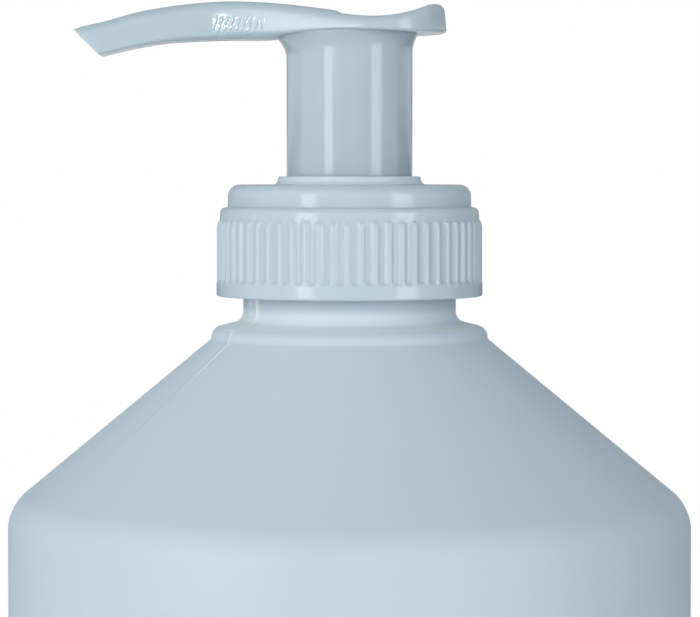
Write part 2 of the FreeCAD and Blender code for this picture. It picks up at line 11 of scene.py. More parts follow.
import bmesh
import bpy
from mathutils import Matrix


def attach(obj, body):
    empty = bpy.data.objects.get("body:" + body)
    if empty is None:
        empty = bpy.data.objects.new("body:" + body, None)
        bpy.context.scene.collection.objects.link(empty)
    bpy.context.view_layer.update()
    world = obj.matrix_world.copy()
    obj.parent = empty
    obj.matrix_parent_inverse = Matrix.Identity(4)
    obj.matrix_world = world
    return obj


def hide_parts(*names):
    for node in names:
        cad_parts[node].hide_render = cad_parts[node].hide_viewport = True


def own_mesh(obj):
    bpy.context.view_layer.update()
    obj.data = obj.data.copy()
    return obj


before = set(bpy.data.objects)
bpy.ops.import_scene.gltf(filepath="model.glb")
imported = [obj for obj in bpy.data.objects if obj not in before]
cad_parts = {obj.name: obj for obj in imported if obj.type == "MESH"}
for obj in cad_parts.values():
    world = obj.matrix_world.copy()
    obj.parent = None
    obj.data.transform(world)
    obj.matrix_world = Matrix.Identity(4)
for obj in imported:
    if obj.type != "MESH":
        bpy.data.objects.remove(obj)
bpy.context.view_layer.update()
mm = 0.001

# %% [markdown]
# ## Camera
# The photograph looks at the pump from the front. The camera is level with the collar's top and tilted down by
# two or three degrees. From far away all rings would look flat, so the distance comes from how much the collar's
# rings bow: they curve down at the band and lie almost flat at the collar's top.

# %% Camera
camera_distance = 372.6
camera_height = 231.85
camera_aside = 0.06
camera_pitch = math.radians(2.53)
camera_data = bpy.data.cameras.new("camera")
camera = bpy.data.objects.new("camera", camera_data)
bpy.context.scene.collection.objects.link(camera)
camera_data.sensor_width = 36.0
camera_data.lens = 154.3
camera_data.clip_start = 0.01
camera.location = (camera_aside * mm, -camera_distance * mm, camera_height * mm)
camera.rotation_euler = (math.pi / 2 - camera_pitch, 0.0, 0.0)
bpy.context.scene.camera = camera
bpy.context.scene.view_settings.view_transform = "Standard"
print("camera at", [round(a, 4) for a in camera.location], "lens", camera_data.lens)

# %% [markdown]
# ## Tools for turned pieces
# Most of this object is round: it was blown or moulded around one axis. By hand, such a piece starts as a line:
# a plane is merged to one point, the point is extruded from corner to corner, the corner points are bevelled,
# and the line is spun once round the axis. A lathe modifier would give the same skin, but the spin leaves real
# rings that can be picked and scaled later.

# %% Draw a line from corner to corner
def start_line(name, first):
    if bpy.context.object and bpy.context.object.mode != "OBJECT":
        bpy.ops.object.mode_set(mode="OBJECT")
    bpy.ops.object.select_all(action="DESELECT")
    bpy.ops.mesh.primitive_plane_add(size=1.0 * mm, location=(0, 0, 0))
    piece = bpy.context.object
    piece.name = name
    piece.data.name = name
    bpy.ops.object.mode_set(mode="EDIT")
    bpy.ops.mesh.select_mode(type="VERT")
    bpy.ops.mesh.select_all(action="SELECT")
    bpy.ops.mesh.merge(type="CENTER")
    bpy.ops.transform.translate(value=first)
    return piece


def draw_line(name, corners):
    piece = start_line(name, corners[0])
    for here, there in zip(corners, corners[1:]):
        step = [b - a for a, b in zip(here, there)]
        bpy.ops.mesh.extrude_region_move(TRANSFORM_OT_translate={"value": step})
    return piece


# %% Pick points, edges or faces by place
same_place = 1e-6       # points nearer than this, in metres, count as one


def pick(test, kind="VERT"):
    bpy.ops.mesh.select_mode(type=kind)
    bpy.ops.mesh.select_all(action="DESELECT")
    skin = bmesh.from_edit_mesh(bpy.context.object.data)
    items = {"VERT": skin.verts, "EDGE": skin.edges, "FACE": skin.faces}[kind]
    chosen = [item for item in items if test(item)]
    for item in chosen:
        item.select_set(True)
    skin.select_flush_mode()
    bmesh.update_edit_mesh(bpy.context.object.data)
    return len(chosen)


def is_corner(v, corner):
    radius, height = corner
    return math.dist((v.co.x, v.co.z), (radius * mm, height * mm)) < same_place


# %% Round the corners of a drawn line and spin it
def round_corner(corners, index, radius, segments):
    before, here, after = corners[index - 1], corners[index], corners[(index + 1) % len(corners)]
    inward = math.atan2(here[1] - before[1], here[0] - before[0])
    outward = math.atan2(after[1] - here[1], after[0] - here[0])
    bend = abs((outward - inward + math.pi) % (2 * math.pi) - math.pi)
    found = pick(lambda v: is_corner(v, here))
    if found != 1:
        raise RuntimeError(f"corner {here} found {found} times")
    bpy.ops.mesh.bevel(offset=radius * math.tan(bend / 2) * mm, offset_type="OFFSET", segments=segments,
                       affect="VERTICES", profile=0.5)


def turned_piece(name, corners, rounds, steps, sweep=2 * math.pi, closed=True):
    """Corners are (radius, height) in mm and rounds maps a corner's number to its radius and steps."""
    piece = draw_line(name, [(r * mm, 0, z * mm) for r, z in corners])
    if closed:
        found = pick(lambda v: is_corner(v, corners[0]) or is_corner(v, corners[-1]))
        if found != 2:
            raise RuntimeError(f"{name} has {found} loose ends")
        bpy.ops.mesh.edge_face_add()
    for index, (radius, segments) in rounds.items():
        round_corner(corners, index, radius, segments)
    bpy.ops.mesh.select_all(action="SELECT")
    bpy.ops.mesh.spin(steps=steps, angle=sweep, center=(0, 0, 0), axis=(0, 0, 1))
    bpy.ops.mesh.select_all(action="SELECT")
    bpy.ops.mesh.remove_doubles(threshold=same_place)
    bpy.ops.mesh.normals_make_consistent(inside=False)
    return piece


# %% Shade a finished piece and say how large it is
def finish_piece(piece, sharp=35):
    if bpy.context.object.mode != "OBJECT":
        bpy.ops.object.mode_set(mode="OBJECT")
    bpy.ops.object.select_all(action="DESELECT")
    piece.select_set(True)
    bpy.context.view_layer.objects.active = piece
    bpy.ops.object.shade_smooth_by_angle(angle=math.radians(sharp))
    xs, ys, zs = zip(*[v.co for v in piece.data.vertices])
    print(piece.name, len(piece.data.polygons), "faces,",
          f"x {min(xs) / mm:.2f} to {max(xs) / mm:.2f}, y {min(ys) / mm:.2f} to {max(ys) / mm:.2f},",
          f"z {min(zs) / mm:.2f} to {max(zs) / mm:.2f} mm")


# %% [markdown]
# ## Screw threads
# A thread is a small section wound round the axis. The Screw modifier does that: it turns the section and lifts
# it by one pitch in each turn. Its open ends are filled, so that the ridge is a closed strip. The neck and the
# collar share one pitch, so that the collar climbs as it turns.

# %% Wind a section round the axis
thread_pitch, thread_turns, thread_steps = 4.2, 1.0, 128


def wound_ridge(name, section, pitch, turns, steps):
    piece = draw_line(name, [(r * mm, 0, z * mm) for r, z in section])
    pick(lambda v: len(v.link_edges) == 1)
    bpy.ops.mesh.edge_face_add()
    bpy.ops.object.mode_set(mode="OBJECT")
    bpy.ops.object.modifier_add(type="SCREW")
    winding = piece.modifiers[-1]
    winding.axis = "Z"
    winding.angle = 2 * math.pi * turns
    winding.screw_offset = pitch * turns * mm
    winding.steps = winding.render_steps = steps
    winding.use_smooth_shade = False
    bpy.ops.object.modifier_apply(modifier=winding.name)
    bpy.ops.object.mode_set(mode="EDIT")
    pick(lambda e: e.is_boundary, "EDGE")
    bpy.ops.mesh.fill_holes(sides=0)
    bpy.ops.mesh.select_all(action="SELECT")
    bpy.ops.mesh.normals_make_consistent(inside=False)
    bpy.ops.object.mode_set(mode="OBJECT")
    return piece


def join_pieces(main, *others):
    bpy.ops.object.select_all(action="DESELECT")
    for other in others:
        other.select_set(True)
    main.select_set(True)
    bpy.context.view_layer.objects.active = main
    bpy.ops.object.join()
    return main


# %% [markdown]
# ## Bottle
# The bottle is blown from polyethylene: a straight round body, a soft corner into a cone of about 40 degrees, a
# bead where the cone meets the neck, and a screw neck. The wall is a real wall with an inside, because the part
# is hollow and its oil space shows when the pump is lifted off. One line with both skins is spun.

# %% Bottle: the line of both skins
rim = 226.0
body = 42.33
wall = 1.1
foot_ring = 31.0
bead_radius = 17.15
neck_radius, neck_bore = 13.2, 11.0
cone_slope = math.tan(math.radians(39.6))
bead_base = 211.67
shoulder_corner = bead_base - (body - bead_radius) * cone_slope
inner_shoulder = shoulder_corner - 0.4
bottle_line = [
    (0.0, 3.5), (foot_ring, 0.0), (body, 0.0), (body, shoulder_corner), (bead_radius, bead_base),
    (bead_radius, 213.0), (neck_radius, 213.95), (neck_radius, rim), (neck_bore, rim), (neck_bore, 215.1),
    (body - wall, inner_shoulder), (body - wall, wall), (foot_ring, wall), (0.0, 4.6),
]
bottle_rounds = {1: (2.0, 4), 2: (6.0, 10), 3: (5.2, 14), 4: (0.5, 4), 5: (1.3, 8), 6: (1.4, 8),
                 7: (0.35, 4), 8: (0.3, 3), 9: (3.0, 6), 10: (4.6, 10), 11: (4.9, 8)}
bottle = turned_piece("bottle_shell", bottle_line, bottle_rounds, 256, closed=False)
print("shoulder corner at", round(shoulder_corner, 2), "mm")

# %% Bottle: the thread on the neck
neck_ridge = [(12.9, 218.75), (14.0, 219.35), (14.0, 220.25), (12.9, 220.85)]
neck_thread = wound_ridge("neck_thread", neck_ridge, thread_pitch, thread_turns, thread_steps)
bottle = join_pieces(bottle, neck_thread)
finish_piece(bottle)
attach(bottle, "bottle")
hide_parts("bottle")

# %% [markdown]
# ## Closure
# The collar that screws the pump to the neck has a plain band at its foot, sixty grip ribs, a plain ring, a step
# and a rounded top. The ribs could be sixty bars, but on the real collar they flow out of the wall, with a sloped
# foot on the band and a soft run-out above. So one wedge of the wall, a sixtieth of a turn, is spun in twelve
# columns, the points of its rib are pulled outwards, and the wedge is copied round.

# %% Closure: the line of the wall, spun into one wedge
closure_base = 216.98
wall_radius, band_radius, rib_crest = 16.10, 16.5, 16.46
# Up along a rib: the height, the radius between the ribs and the radius of the crest.
rib_ends = [(218.84, 16.41, 16.48), (219.0, 16.26, rib_crest), (219.18, 16.14, rib_crest),
            (219.4, wall_radius, rib_crest), (225.4, wall_radius, rib_crest), (225.75, wall_radius, 16.43),
            (226.0, wall_radius, 16.38), (226.2, wall_radius, 16.30), (226.32, wall_radius, 16.20)]
closure_line = [(14.25, closure_base), (band_radius, closure_base), (band_radius, 218.62)]
closure_line += [(floor_radius, z) for z, floor_radius, crest_radius in rib_ends]
closure_line += [(wall_radius, 226.42), (16.02, 227.88), (15.11, 228.02), (15.06, 230.78), (8.65, 230.78),
                 (8.65, 229.28), (14.075, 229.28), (14.075, 226.88), (14.25, 226.88)]
closure_rounds = {1: (0.3, 4), 2: (0.15, 3), 13: (0.7, 7), 14: (0.12, 3), 15: (1.45, 9), 16: (0.2, 3)}
rib_count, rib_columns = 60, 12
rib_pitch = 2 * math.pi / rib_count
closure = turned_piece("closure_cap", closure_line, closure_rounds, rib_columns, rib_pitch)
print("wedge faces", len(bmesh.from_edit_mesh(closure.data).faces))

# %% Closure: pull one rib out of the wedge
rib_half = 0.575
pulled = 0
for height, floor_radius, crest_radius in rib_ends:
    for column in range(rib_columns):
        turn = rib_pitch * column / rib_columns
        across = (turn - rib_pitch / 2) * floor_radius
        rise = (crest_radius - floor_radius) * (1.0 - (across / rib_half) ** 2)
        if rise <= 0.0:
            continue
        spot = (floor_radius * mm * math.cos(turn), floor_radius * mm * math.sin(turn), height * mm)
        pulled += pick(lambda v: math.dist((v.co.x, abs(v.co.y), v.co.z), spot) < same_place)
        scale = (floor_radius + rise) / floor_radius
        bpy.ops.transform.resize(value=(scale, scale, 1.0), center_override=(0, 0, 0))
print("points pulled into a rib", pulled)

# %% Closure: copy the wedge round and turn the ribs into place
first_rib = math.radians(-2.0)
bpy.ops.mesh.select_all(action="SELECT")
bpy.ops.mesh.spin(steps=rib_count, dupli=True, angle=2 * math.pi, center=(0, 0, 0), axis=(0, 0, 1))
bpy.ops.mesh.select_all(action="SELECT")
bpy.ops.transform.rotate(value=first_rib, orient_axis="Z", center_override=(0, 0, 0))
bpy.ops.mesh.remove_doubles(threshold=2 * same_place)
bpy.ops.mesh.normals_make_consistent(inside=False)
loose = pick(lambda e: e.is_boundary, "EDGE")
bpy.ops.object.mode_set(mode="OBJECT")
crests = [math.degrees(math.atan2(v.co.y, v.co.x)) % (360 / rib_count) for v in closure.data.vertices
          if math.hypot(v.co.x, v.co.y) > (rib_crest - 0.001) * mm and 220 * mm < v.co.z < 226 * mm]
print("open edges", loose, "crests at", {round(a, 2) for a in crests}, "degrees of each rib's share")

# %% Closure: the thread inside
closure_ridge = [(14.5, 217.55), (13.5, 218.05), (13.5, 218.75), (14.5, 219.25)]
closure_thread = wound_ridge("closure_thread", closure_ridge, thread_pitch, thread_turns, thread_steps)
closure = join_pieces(closure, closure_thread)
finish_piece(closure, 40)
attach(closure, "closure")
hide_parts("closure")

# %% [markdown]
# ## Chaplet
# The chaplet is the low ring that the sleeve dips into. Its flange holds the collar down and flares out onto the
# collar's top, and a tube with a guide for the stem hangs below it. It is turned like the rest. The flare is
# drawn point by point, because a bevel would round it the wrong way.

# %% Chaplet
chaplet_line = [
    (7.9, 215.28), (7.9, 231.80), (8.82, 231.80), (8.86, 231.48), (8.93, 231.24), (9.04, 231.04),
    (9.20, 230.89), (9.32, 230.83), (9.32, 230.79), (8.55, 230.79), (8.55, 214.08), (3.55, 214.08),
    (3.55, 223.04), (5.0, 223.04), (5.0, 215.28),
]
chaplet = turned_piece("chaplet_ring", chaplet_line, {1: (0.15, 3), 2: (0.3, 6)}, 192)
finish_piece(chaplet)
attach(chaplet, "pump")
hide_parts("chaplet")

# %% [markdown]
# ## Head
# The head, the nozzle and the sleeve are one moulding. Seen from above, a round thumb lobe runs into a tapered
# nozzle. Seen from the side, the nozzle arches down to a slanted tip and the lobe has a saddle for the thumb. So
# the plan is drawn and filled first, cut into strips across, inset for the edge and extruded into a plate. The
# plate then takes its heights from the side outline: no operator bends a plate to an outline that was measured,
# so these are set point by point.

# %% Head: the outline seen from the side
head_zero = 216.98
# Each point is a place along the nozzle and a height above head_zero, in mm.
crown_points = [(-36.0, 32.05), (-34.1, 32.85), (-32.35, 33.38), (-30.2, 33.84), (-28.6, 34.30), (-26.9, 34.79),
                (-24.4, 35.33), (-19.7, 36.00), (-15.1, 36.28), (-11.2, 36.14), (-7.8, 35.84), (-3.7, 35.30),
                (-1.9, 35.03), (-1.5, 34.92), (-1.1, 34.68), (-0.5, 34.58), (1.06, 34.36), (2.9, 34.28),
                (4.66, 34.37), (6.5, 34.67), (8.4, 35.18), (9.4, 35.62), (10.0, 35.86), (11.0, 36.05),
                (12.2, 36.10)]
edge_points = [(-36.0, 31.75), (-34.1, 32.55), (-32.35, 33.08), (-30.2, 33.54), (-28.6, 34.00), (-26.9, 34.49),
               (-24.4, 35.03), (-19.7, 35.70), (-15.1, 35.98), (-11.2, 35.84), (-7.8, 35.52), (-3.7, 34.90),
               (-1.55, 34.62), (1.06, 34.36), (2.9, 34.28), (4.66, 34.37), (6.5, 34.67), (8.4, 35.18),
               (9.4, 35.62), (10.0, 35.86), (11.0, 36.05), (12.2, 36.10)]
under_points = [(-36.0, 28.3), (-31.0, 29.66), (-26.9, 30.66), (-22.7, 31.50), (-19.4, 31.85), (-15.1, 32.10),
                (-11.2, 32.20), (-7.0, 32.27), (-3.7, 32.42), (0.0, 32.55), (2.9, 32.58), (6.5, 32.46),
                (9.0, 32.44), (11.1, 32.47), (12.2, 32.48)]
# How far the middle of the underside hangs below its edges.
belly_points = [(-36.0, 0.0), (-30.0, 0.02), (-24.0, 0.14), (-19.0, 0.34), (-14.0, 0.42), (-9.8, 0.42),
                (-8.2, 0.2), (-7.0, 0.0), (12.2, 0.0)]


def along(points, x):
    """A smooth curve through the points, read at x."""
    last = len(points) - 2
    i = next((k for k in range(last + 1) if x <= points[k + 1][0]), last)
    (x0, z0), (x1, z1) = points[i], points[i + 1]
    before = points[i - 1] if i > 0 else points[i]
    after = points[i + 2] if i < last else points[i + 1]
    slope0 = (z1 - before[1]) / (x1 - before[0])
    slope1 = (after[1] - z0) / (after[0] - x0)
    span = x1 - x0
    t = (x - x0) / span
    return ((2 * t ** 3 - 3 * t ** 2 + 1) * z0 + (t ** 3 - 2 * t ** 2 + t) * span * slope0
            + (-2 * t ** 3 + 3 * t ** 2) * z1 + (t ** 3 - t ** 2) * span * slope1)


print("thickness in mm", [(x, round(along(crown_points, x) - along(under_points, x), 2)) for x in (-30, -15, 0, 9)])

# %% Head: the outline seen from above
plan_end = -36.0
lobe_middle, lobe_radius = 3.0, 9.03
taper_end, taper_half, taper_slope = 0.41, 8.62, 0.3
nozzle_half, nozzle_slope, nozzle_start = 3.55, 0.006, 34.0
blend = 0.6


def half_width(x):
    """Half the width at x: the lobe's circle, or a taper that blends into the nozzle."""
    if x > taper_end:
        return math.sqrt(max(0.0, lobe_radius ** 2 - (x - lobe_middle) ** 2))
    nozzle = nozzle_half + nozzle_slope * (x + nozzle_start)
    taper = taper_half + taper_slope * (x - taper_end)
    return 0.5 * (nozzle + taper + math.sqrt((nozzle - taper) ** 2 + blend))


print("half widths in mm", [(x, round(half_width(x), 2)) for x in (-34, -24, -16, -10, -4, 0, 4, 8)])

# %% Head: the plan, filled and cut into strips
stations = [plan_end + 1.0 * k for k in range(34)]
stations += [-2.4, -1.9, -1.6, -1.3, -0.9, -0.3, taper_end, 1.1, 1.8, 2.5]
stations += [lobe_middle + lobe_radius * math.cos(math.radians(a)) for a in range(88, 2, -4)]
plan_half = [(plan_end, 0.0)] + [(x, half_width(x)) for x in stations] + [(lobe_middle + lobe_radius, 0.0)]
head = draw_line("actuator_head", [(x * mm, y * mm, 0) for x, y in plan_half])
bpy.ops.object.mode_set(mode="OBJECT")
bpy.ops.object.modifier_add(type="MIRROR")
head.modifiers[-1].use_axis = (False, True, False)
head.modifiers[-1].merge_threshold = same_place
bpy.ops.object.modifier_apply(modifier=head.modifiers[-1].name)
bpy.ops.object.mode_set(mode="EDIT")
bpy.ops.mesh.select_all(action="SELECT")
bpy.ops.mesh.remove_doubles(threshold=0.1 * same_place)
bpy.ops.mesh.edge_face_add()
for x in stations[1:]:
    bpy.ops.mesh.select_all(action="SELECT")
    bpy.ops.mesh.bisect(plane_co=(x * mm, 0, 0), plane_no=(1, 0, 0), threshold=same_place)
print("strips across the plan", len(bmesh.from_edit_mesh(head.data).faces))

# %% Head: the edge ring and the plate
edge_ring, plate_thickness = 1.3, 3
inside_ring = 0.5       # a point farther than this from the outline lies on the ring's inner side
bpy.ops.mesh.select_all(action="SELECT")
bpy.ops.mesh.inset(thickness=edge_ring * mm, depth=0.0, use_boundary=True, use_even_offset=True)
pick(lambda f: True, "FACE")
bpy.ops.mesh.extrude_region_move(TRANSFORM_OT_translate={"value": (0, 0, -plate_thickness * mm)})
bpy.ops.mesh.select_all(action="SELECT")
bpy.ops.mesh.normals_make_consistent(inside=False)
plate = bmesh.from_edit_mesh(head.data)
for v in plate.verts:
    x, y = v.co.x / mm, v.co.y / mm
    inside = half_width(x) - abs(y) > inside_ring
    if v.co.z > -1 * mm:
        height = along(crown_points if inside else edge_points, x)
    else:
        height = along(under_points, x) - (along(belly_points, x) if inside else 0.0)
    v.co.z = (head_zero + height) * mm
bmesh.update_edit_mesh(head.data)
print("plate points", len(plate.verts))

# %% Head: round the long edges
def on_outline(v):
    x, y = v.co.x / mm, abs(v.co.y) / mm
    return abs(y - half_width(x)) < 2e-3 or x > lobe_middle + lobe_radius - 0.03


def on_level(v, points):
    return abs(v.co.z / mm - head_zero - along(points, v.co.x / mm)) < 0.02


for level, radius, segments in ((under_points, 0.42, 4), (edge_points, 0.95, 7)):
    count = pick(lambda e: all(on_outline(v) and on_level(v, level) for v in e.verts), "EDGE")
    bpy.ops.mesh.bevel(offset=radius * mm, offset_type="OFFSET", segments=segments, affect="EDGES",
                       profile=0.5, clamp_overlap=True)
    print("edges rounded", count, "by", radius, "mm")

# %% Head: give the sides their draft, then cut the slanted tip
side_draft, tail_draft = 0.03, 0.035
for v in bmesh.from_edit_mesh(head.data).verts:
    x = v.co.x / mm
    foot = along(under_points, x)
    rise = (v.co.z / mm - head_zero - foot) / (along(edge_points, x) - foot)
    v.co.y *= 1.0 - side_draft * rise
    if x > lobe_middle:
        v.co.x = (lobe_middle + (x - lobe_middle) * (1.0 - tail_draft * rise)) * mm
bmesh.update_edit_mesh(head.data)
tip_top, tip_foot = (-33.93, 32.89), (-31.02, 29.66)
tip_run, tip_fall = tip_foot[0] - tip_top[0], tip_foot[1] - tip_top[1]
bpy.ops.mesh.select_all(action="SELECT")
bpy.ops.mesh.bisect(plane_co=(tip_top[0] * mm, 0, (tip_top[1] + head_zero) * mm),
                    plane_no=(tip_fall, 0, -tip_run), use_fill=True, clear_outer=True)
bpy.ops.mesh.select_all(action="SELECT")
bpy.ops.mesh.normals_make_consistent(inside=False)
bpy.ops.object.mode_set(mode="OBJECT")
print("tip slanted by", round(math.degrees(math.atan2(-tip_fall, tip_run))), "degrees")

# %% Head: a bent rod for the nozzle's channel
bore_radius, bore_arc = 1.3, 62.0
bore_top_x, bore_top_z = -15.0, 250.94
root_turn, tip_turn = math.asin(14.0 / bore_arc), math.asin(24.0 / bore_arc)
bore_pivot = (bore_top_x * mm, 0, (bore_top_z - bore_arc) * mm)
bpy.ops.object.select_all(action="DESELECT")
bpy.ops.mesh.primitive_circle_add(vertices=32, radius=bore_radius * mm, location=(0, 0, 0))
bore = bpy.context.object
bore.name = "nozzle_bore"
bpy.ops.object.mode_set(mode="EDIT")
bpy.ops.mesh.select_all(action="SELECT")
bpy.ops.transform.rotate(value=math.pi / 2, orient_axis="Y", center_override=(0, 0, 0))
bpy.ops.transform.translate(value=(bore_top_x * mm, 0, bore_top_z * mm))
bpy.ops.transform.rotate(value=-root_turn, orient_axis="Y", center_override=bore_pivot)
bpy.ops.mesh.spin(steps=40, angle=root_turn + tip_turn, center=bore_pivot, axis=(0, 1, 0))
pick(lambda e: e.is_boundary, "EDGE")
bpy.ops.mesh.fill_holes(sides=0)
bpy.ops.mesh.select_all(action="SELECT")
bpy.ops.mesh.normals_make_consistent(inside=False)
bpy.ops.object.mode_set(mode="OBJECT")
bore_xs = [v.co.x / mm for v in bore.data.vertices]
print("bore runs from x", round(min(bore_xs), 1), "to", round(max(bore_xs), 1), "mm")

# %% Head: take the rod out of the nozzle
bpy.ops.object.select_all(action="DESELECT")
head.select_set(True)
bpy.context.view_layer.objects.active = head
bpy.ops.object.modifier_add(type="BOOLEAN")
cut = head.modifiers[-1]
cut.operation = "DIFFERENCE"
cut.solver = "EXACT"
cut.object = bore
bpy.ops.object.modifier_apply(modifier=cut.name)
bpy.data.objects.remove(bore)
print("head faces after the bore", len(head.data.polygons))

# %% [markdown]
# ## Sleeve
# The sleeve under the head slides into the chaplet. It flares into the head, and the flare is wider under the
# nozzle. The flare's rings are part of the spun line, and they are then stretched towards the nozzle and lifted
# to meet the head's underside. A socket for the stem hangs inside.

# %% Sleeve: the turned line
sleeve_radius = 7.8
flare_foot, flare_rise, flare_reach, flare_rings = 247.3, 2.4, 0.75, 9
flare = [(sleeve_radius + flare_reach * (k / flare_rings) ** 1.7, flare_foot + flare_rise * k / flare_rings)
         for k in range(flare_rings + 1)]
sleeve_line = [(6.6, 229.78), (sleeve_radius, 229.78)] + flare + [
    (2.2, flare_foot + flare_rise), (2.2, 247.04), (3.55, 247.04), (3.55, 238.04), (4.75, 238.04),
    (4.75, 247.54), (6.6, 247.54)]
sleeve = turned_piece("actuator_sleeve", sleeve_line, {0: (0.3, 3), 1: (0.25, 3)}, 192)
print("flare from", sleeve_radius, "to", round(flare[-1][0], 2), "mm")

# %% Sleeve: stretch the flare towards the nozzle
nozzle_stretch, nozzle_drop = 1.1, 0.75
under_radius, under_level = 8.5, 32.65
sleeve_skin = bmesh.from_edit_mesh(sleeve.data)
for v in sleeve_skin.verts:
    radius = math.hypot(v.co.x, v.co.y) / mm
    if radius > sleeve_radius - 0.05 and v.co.z > (flare_foot - 0.01) * mm:
        towards_nozzle = max(0.0, -v.co.x / mm / radius) ** 2
        lift = (v.co.z / mm - flare_foot) / flare_rise
        wider = sleeve_radius + (radius - sleeve_radius) * (1.0 + nozzle_stretch * towards_nozzle)
        v.co.x *= wider / radius
        v.co.y *= wider / radius
        v.co.z -= nozzle_drop * towards_nozzle * (1.0 - lift) * mm
        v.co.z += (along(under_points, under_radius * v.co.x / mm / wider) - under_level) * lift * mm
bmesh.update_edit_mesh(sleeve.data)
bpy.ops.object.mode_set(mode="OBJECT")
actuator = join_pieces(head, sleeve)
finish_piece(actuator, 32)
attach(actuator, "head")
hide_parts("actuator")

# %% [markdown]
# ## Return spring
# A steel compression spring pushes the plunger up. Its end turns lie close and the turns between are open. Each
# run is a round section wound by the Screw modifier, and the runs meet end to end.

# %% Return spring
coil_radius, wire_radius, wire_sides = 4.75, 0.45, 14
coil_foot, coil_top, close_pitch = 179.51 + wire_radius, 203.51 - wire_radius, 1.4
open_count = 6
open_pitch = (coil_top - coil_foot - 2 * close_pitch) / open_count


def coil_run(name, foot, pitch, turns):
    angles = [2 * math.pi * k / wire_sides for k in range(wire_sides)]
    ring = [(coil_radius + wire_radius * math.cos(a), foot + wire_radius * math.sin(a)) for a in angles]
    return wound_ridge(name, ring, pitch, turns, 48 * turns)


spring = coil_run("return_coil", coil_foot, close_pitch, 1)
open_turns = coil_run("open_turns", coil_foot + close_pitch, open_pitch, open_count)
last_turn = coil_run("last_turn", coil_top - close_pitch, close_pitch, 1)
spring = join_pieces(spring, open_turns, last_turn)
finish_piece(spring, 60)
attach(spring, "pump")
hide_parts("return_spring")

# %% [markdown]
# ## Finishes
# The bottle is satin polyethylene and the pump glossy polypropylene, both a cool white with a little blue. A
# finish starts from the shader's own values, and the nodes add what the eye reads as plastic: slight unevenness
# of colour and gloss, and a very fine bump. All patterns are laid on Object coordinates, so they stay on the
# piece when it moves.

# %% Make a node and link it to the next
def linear(red, green, blue):
    """A screen colour, from 0 to 255, as the light that a shader works with."""
    def one(level):
        level /= 255
        return level / 12.92 if level <= 0.04045 else ((level + 0.055) / 1.055) ** 2.4
    return (one(red), one(green), one(blue), 1.0)


def node(material, kind, **inputs):
    made = material.node_tree.nodes.new(kind)
    for name, amount in inputs.items():
        made.inputs[name.replace("_", " ")].default_value = amount
    return made


def link(material, source, output, target, socket):
    outlet = next(o for o in source.outputs if o.name == output and o.enabled)
    if isinstance(socket, str):
        inlet = next(i for i in target.inputs if i.name == socket and i.enabled)
    else:
        inlet = target.inputs[socket]
    material.node_tree.links.new(outlet, inlet)


def pattern(material, kind, **inputs):
    """A texture laid on the piece's own coordinates."""
    made = node(material, kind, **inputs)
    link(material, node(material, "ShaderNodeTexCoord"), "Object", made, "Vector")
    return made


# %% A finish with uneven colour, gloss and grain
mix_under, mix_over = 6, 7      # the two colour sockets of a Mix node


def shader_of(material):
    return material.node_tree.nodes["Principled BSDF"]


def uneven_finish(name, pale, deep, shine, grain, milky=0.0):
    """Shine is the roughness where it is glossy and dull, grain the bump's size and depth in mm."""
    material = bpy.data.materials.new(name)
    material.use_nodes = True
    shader = shader_of(material)
    shader.inputs["Subsurface Weight"].default_value = milky
    shader.inputs["Subsurface Radius"].default_value = (1.0, 1.0, 1.0)
    shader.inputs["Subsurface Scale"].default_value = 4.0 * mm
    cloud = pattern(material, "ShaderNodeTexNoise", Scale=55.0, Detail=3.0, Roughness=0.55)
    tint = node(material, "ShaderNodeMix")
    tint.data_type = "RGBA"
    tint.inputs[mix_under].default_value = linear(*deep)
    tint.inputs[mix_over].default_value = linear(*pale)
    link(material, cloud, "Fac", tint, "Factor")
    link(material, tint, "Result", shader, "Base Color")
    fine = pattern(material, "ShaderNodeTexNoise", Scale=1.0 / (grain[0] * mm), Detail=2.0, Roughness=0.5)
    sheen = node(material, "ShaderNodeMapRange", From_Min=0.3, From_Max=0.7, To_Min=shine[0], To_Max=shine[1])
    link(material, fine, "Fac", sheen, "Value")
    link(material, sheen, "Result", shader, "Roughness")
    bump = node(material, "ShaderNodeBump", Strength=1.0, Distance=grain[1] * mm)
    link(material, fine, "Fac", bump, "Height")
    link(material, bump, "Normal", shader, "Normal")
    return material


def dress(piece, material):
    piece.data.materials.clear()
    piece.data.materials.append(material)


# %% Pump and bottle plastics
bottle_plastic = uneven_finish("satin_polyethylene", pale=(199, 216, 226), deep=(194, 212, 222),
                               shine=(0.42, 0.52), grain=(0.5, 0.006), milky=0.1)
shader_of(bottle_plastic).inputs["Specular IOR Level"].default_value = 0.28
pump_plastic = uneven_finish("gloss_polypropylene", pale=(191, 209, 217), deep=(187, 206, 214),
                             shine=(0.11, 0.17), grain=(0.35, 0.002), milky=0.4)
# Painted light: the chaplet's copy of the pump plastic is paler, because the ring sits in shade between sleeve and
# collar.
chaplet_plastic_painted_light = uneven_finish("gloss_polypropylene_ring_painted_light", pale=(214, 231, 239), deep=(210, 228, 236),
                                shine=(0.14, 0.20), grain=(0.6, 0.003), milky=0.1)
# Painted shade: the head's copy of the pump plastic is a little darker, to tone down the head, which the lamps
# light more strongly than the collar.
head_plastic_painted_shade = uneven_finish("gloss_polypropylene_head_painted_shade", pale=(184, 202, 210), deep=(180, 199, 207),
                             shine=(0.10, 0.16), grain=(0.35, 0.002), milky=0.4)
dress(bottle, bottle_plastic)
dress(closure, pump_plastic)
dress(chaplet, chaplet_plastic_painted_light)
dress(actuator, head_plastic_painted_shade)
print("dressed", [o.name for o in (bottle, closure, chaplet, actuator)])

# %% [markdown]
# ## Tools for marks
# Moulding leaves marks that are too fine for the mesh: a line, ripples, a paler or duller patch. Each is a bump,
# a tint or a change of gloss, and a mask keeps it in its place. A mask reads distances from Object coordinates.

# %% Numbers from places
def math_node(material, operation, *amounts):
    made = material.node_tree.nodes.new("ShaderNodeMath")
    made.operation = operation
    for index, amount in enumerate(amounts):
        if amount is not None:
            made.inputs[index].default_value = amount
    return made


